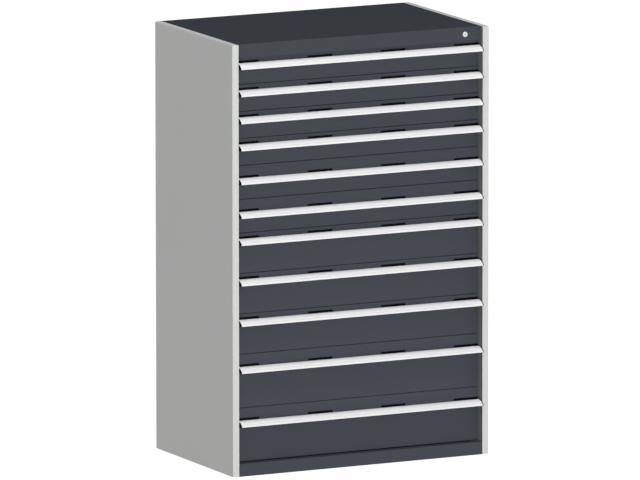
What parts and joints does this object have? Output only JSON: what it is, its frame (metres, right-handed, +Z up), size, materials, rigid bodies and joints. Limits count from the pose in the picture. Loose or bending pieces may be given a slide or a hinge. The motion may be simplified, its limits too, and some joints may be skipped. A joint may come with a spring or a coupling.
{
  "type": "drawer cabinet",
  "caption": "Tall free-standing workshop drawer cabinet with full-width drawers on telescopic runners, aluminium grip handles and a central lock that holds every drawer shut.",
  "frame": {"origin": "on the floor, at the middle of the housing's footprint", "axes": "+Z up; the drawers open towards -Y; +X to the right for someone who faces the drawers"},
  "size_m": [1.05, 0.663, 1.6],
  "materials": {
    "housing_grey": "satin powder coat",
    "anthracite": "satin powder coat",
    "upright_grey": "satin powder coat",
    "tray_grey": "satin powder coat",
    "zinc_steel": "zinc plated",
    "handle_aluminium": "clear anodised",
    "black_plastic": "matt",
    "lock_chrome": "satin chrome"
  },
  "bodies": {
    "cabinet": {"left_side_panel": "housing_grey", "right_side_panel": "housing_grey", "top_cover": "anthracite", "rear_panel": "housing_grey", "base_panel": "anthracite", "plinth_panel": "anthracite", "left_uprights": "upright_grey", "right_uprights": "upright_grey", "left_rails": "zinc_steel", "right_rails": "zinc_steel", "lock_housing": "lock_chrome", "lock_nut": "zinc_steel", "bar_guides": "black_plastic"},
    "drawer_01": {"drawer_01_front": "anthracite", "drawer_01_handle": "handle_aluminium", "drawer_01_tray": "tray_grey"},
    "runner_01": {"drawer_01_runners": "zinc_steel"},
    "drawer_02": {"drawer_02_front": "anthracite", "drawer_02_handle": "handle_aluminium", "drawer_02_tray": "tray_grey"},
    "runner_02": {"drawer_02_runners": "zinc_steel"},
    "drawer_03": {"drawer_03_front": "anthracite", "drawer_03_handle": "handle_aluminium", "drawer_03_tray": "tray_grey"},
    "runner_03": {"drawer_03_runners": "zinc_steel"},
    "drawer_04": {"drawer_04_front": "anthracite", "drawer_04_handle": "handle_aluminium", "drawer_04_tray": "tray_grey"},
    "runner_04": {"drawer_04_runners": "zinc_steel"},
    "drawer_05": {"drawer_05_front": "anthracite", "drawer_05_handle": "handle_aluminium", "drawer_05_tray": "tray_grey"},
    "runner_05": {"drawer_05_runners": "zinc_steel"},
    "drawer_06": {"drawer_06_front": "anthracite", "drawer_06_handle": "handle_aluminium", "drawer_06_tray": "tray_grey"},
    "runner_06": {"drawer_06_runners": "zinc_steel"},
    "drawer_07": {"drawer_07_front": "anthracite", "drawer_07_handle": "handle_aluminium", "drawer_07_tray": "tray_grey"},
    "runner_07": {"drawer_07_runners": "zinc_steel"},
    "drawer_08": {"drawer_08_front": "anthracite", "drawer_08_handle": "handle_aluminium", "drawer_08_tray": "tray_grey"},
    "runner_08": {"drawer_08_runners": "zinc_steel"},
    "drawer_09": {"drawer_09_front": "anthracite", "drawer_09_handle": "handle_aluminium", "drawer_09_tray": "tray_grey"},
    "runner_09": {"drawer_09_runners": "zinc_steel"},
    "drawer_10": {"drawer_10_front": "anthracite", "drawer_10_handle": "handle_aluminium", "drawer_10_tray": "tray_grey"},
    "runner_10": {"drawer_10_runners": "zinc_steel"},
    "drawer_11": {"drawer_11_front": "anthracite", "drawer_11_handle": "handle_aluminium", "drawer_11_tray": "tray_grey"},
    "runner_11": {"drawer_11_runners": "zinc_steel"},
    "locking_bar": {"locking_bar": "zinc_steel"},
    "lock_plug": {"lock_plug": "lock_chrome", "lock_cam": "zinc_steel"}
  },
  "joints": [
    {"name": "drawer_01_slide", "type": "slide", "parent": "cabinet", "child": "drawer_01", "axis": [0, -1, 0], "range_m": [0, 0.525]},
    {"name": "runner_01_slide", "type": "slide", "parent": "cabinet", "child": "runner_01", "axis": [0, -1, 0], "range_m": [0, 0.2625]},
    {"name": "drawer_02_slide", "type": "slide", "parent": "cabinet", "child": "drawer_02", "axis": [0, -1, 0], "range_m": [0, 0.525]},
    {"name": "runner_02_slide", "type": "slide", "parent": "cabinet", "child": "runner_02", "axis": [0, -1, 0], "range_m": [0, 0.2625]},
    {"name": "drawer_03_slide", "type": "slide", "parent": "cabinet", "child": "drawer_03", "axis": [0, -1, 0], "range_m": [0, 0.525]},
    {"name": "runner_03_slide", "type": "slide", "parent": "cabinet", "child": "runner_03", "axis": [0, -1, 0], "range_m": [0, 0.2625]},
    {"name": "drawer_04_slide", "type": "slide", "parent": "cabinet", "child": "drawer_04", "axis": [0, -1, 0], "range_m": [0, 0.525]},
    {"name": "runner_04_slide", "type": "slide", "parent": "cabinet", "child": "runner_04", "axis": [0, -1, 0], "range_m": [0, 0.2625]},
    {"name": "drawer_05_slide", "type": "slide", "parent": "cabinet", "child": "drawer_05", "axis": [0, -1, 0], "range_m": [0, 0.525]},
    {"name": "runner_05_slide", "type": "slide", "parent": "cabinet", "child": "runner_05", "axis": [0, -1, 0], "range_m": [0, 0.2625]},
    {"name": "drawer_06_slide", "type": "slide", "parent": "cabinet", "child": "drawer_06", "axis": [0, -1, 0], "range_m": [0, 0.525]},
    {"name": "runner_06_slide", "type": "slide", "parent": "cabinet", "child": "runner_06", "axis": [0, -1, 0], "range_m": [0, 0.2625]},
    {"name": "drawer_07_slide", "type": "slide", "parent": "cabinet", "child": "drawer_07", "axis": [0, -1, 0], "range_m": [0, 0.525]},
    {"name": "runner_07_slide", "type": "slide", "parent": "cabinet", "child": "runner_07", "axis": [0, -1, 0], "range_m": [0, 0.2625]},
    {"name": "drawer_08_slide", "type": "slide", "parent": "cabinet", "child": "drawer_08", "axis": [0, -1, 0], "range_m": [0, 0.525]},
    {"name": "runner_08_slide", "type": "slide", "parent": "cabinet", "child": "runner_08", "axis": [0, -1, 0], "range_m": [0, 0.2625]},
    {"name": "drawer_09_slide", "type": "slide", "parent": "cabinet", "child": "drawer_09", "axis": [0, -1, 0], "range_m": [0, 0.525]},
    {"name": "runner_09_slide", "type": "slide", "parent": "cabinet", "child": "runner_09", "axis": [0, -1, 0], "range_m": [0, 0.2625]},
    {"name": "drawer_10_slide", "type": "slide", "parent": "cabinet", "child": "drawer_10", "axis": [0, -1, 0], "range_m": [0, 0.525]},
    {"name": "runner_10_slide", "type": "slide", "parent": "cabinet", "child": "runner_10", "axis": [0, -1, 0], "range_m": [0, 0.2625]},
    {"name": "drawer_11_slide", "type": "slide", "parent": "cabinet", "child": "drawer_11", "axis": [0, -1, 0], "range_m": [0, 0.525]},
    {"name": "runner_11_slide", "type": "slide", "parent": "cabinet", "child": "runner_11", "axis": [0, -1, 0], "range_m": [0, 0.2625]},
    {"name": "bar_lift", "type": "slide", "parent": "cabinet", "child": "locking_bar", "axis": [0, 0, 1], "range_m": [0, 0.012]},
    {"name": "lock_turn", "type": "hinge", "parent": "cabinet", "child": "lock_plug", "pos_m": [0.4345, -0.308, 1.5725], "axis": [0, -1, 0], "range_deg": [0, 90]}
  ],
  "couplings": [
    {"joint": "runner_01_slide", "follows": "drawer_01_slide", "ratio": 0.5},
    {"joint": "runner_02_slide", "follows": "drawer_02_slide", "ratio": 0.5},
    {"joint": "runner_03_slide", "follows": "drawer_03_slide", "ratio": 0.5},
    {"joint": "runner_04_slide", "follows": "drawer_04_slide", "ratio": 0.5},
    {"joint": "runner_05_slide", "follows": "drawer_05_slide", "ratio": 0.5},
    {"joint": "runner_06_slide", "follows": "drawer_06_slide", "ratio": 0.5},
    {"joint": "runner_07_slide", "follows": "drawer_07_slide", "ratio": 0.5},
    {"joint": "runner_08_slide", "follows": "drawer_08_slide", "ratio": 0.5},
    {"joint": "runner_09_slide", "follows": "drawer_09_slide", "ratio": 0.5},
    {"joint": "runner_10_slide", "follows": "drawer_10_slide", "ratio": 0.5},
    {"joint": "runner_11_slide", "follows": "drawer_11_slide", "ratio": 0.5},
    {"joint": "lock_turn", "follows": "bar_lift", "rad_per_m": 130.9}
  ]
}
